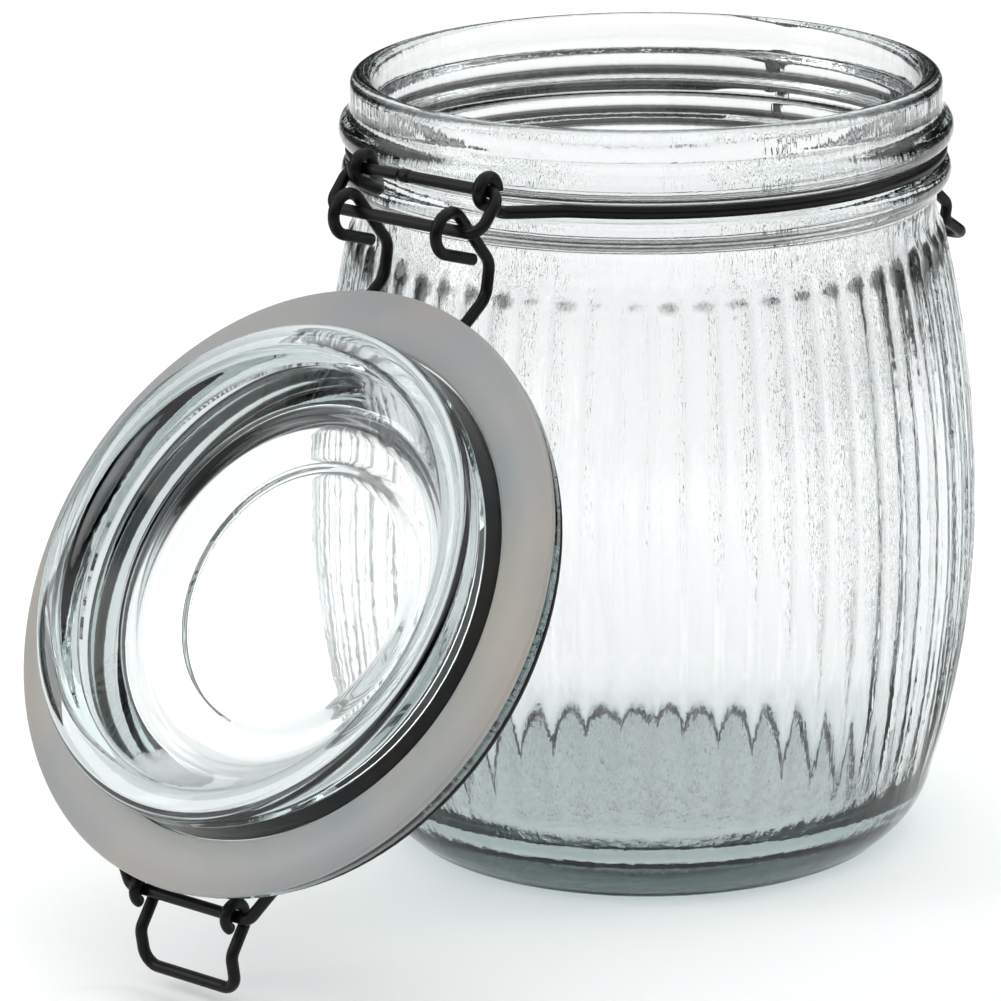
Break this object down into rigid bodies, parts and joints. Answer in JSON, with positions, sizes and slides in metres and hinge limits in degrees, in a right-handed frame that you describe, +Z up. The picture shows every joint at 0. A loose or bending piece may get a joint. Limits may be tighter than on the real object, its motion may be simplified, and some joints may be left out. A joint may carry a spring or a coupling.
{
  "type": "lidded glass canister",
  "caption": "Fluted glass storage jar with a hinged glass lid, rubber-like gasket and black wire bail fittings, shown with the lid hanging open beside it.",
  "frame": {"origin": "centre of the jar's foot ring, on the floor and on the jar's axis", "axes": "+Z up along the jar's axis; the lid's hinge is on the -Y side and the closing lever on the +Y side, so every joint axis runs along X"},
  "size_m": [0.1128, 0.195, 0.1332],
  "materials": {
    "jar_glass": "clear",
    "lid_glass": "clear",
    "gasket_rubber": "satin",
    "black_wire": "satin"
  },
  "bodies": {
    "jar": {"glass_jar": "jar_glass", "neck_ring": "black_wire"},
    "link": {"hinge_link": "black_wire"},
    "lid": {"glass_lid": "lid_glass", "gasket": "gasket_rubber", "lid_wire": "black_wire"},
    "latch": {"latch_loop": "black_wire"},
    "lever": {"closing_lever": "black_wire"}
  },
  "joints": [
    {"name": "link_swing", "type": "hinge", "parent": "jar", "child": "link", "pos_m": [0, -0.0565, 0.1242], "axis": [1, 0, 0], "range_deg": [-87, 0]},
    {"name": "lid_hinge", "type": "hinge", "parent": "link", "child": "lid", "pos_m": [0, -0.06196, 0.11835], "axis": [1, 0, 0], "range_deg": [-149.3, 0]},
    {"name": "latch_swing", "type": "hinge", "parent": "lid", "child": "latch", "pos_m": [0, -0.11541, 0.01646], "axis": [1, 0, 0], "range_deg": [-75, 75]},
    {"name": "lever_swing", "type": "hinge", "parent": "jar", "child": "lever", "pos_m": [0, 0.057, 0.12], "axis": [1, 0, 0], "range_deg": [0, 150]}
  ]
}
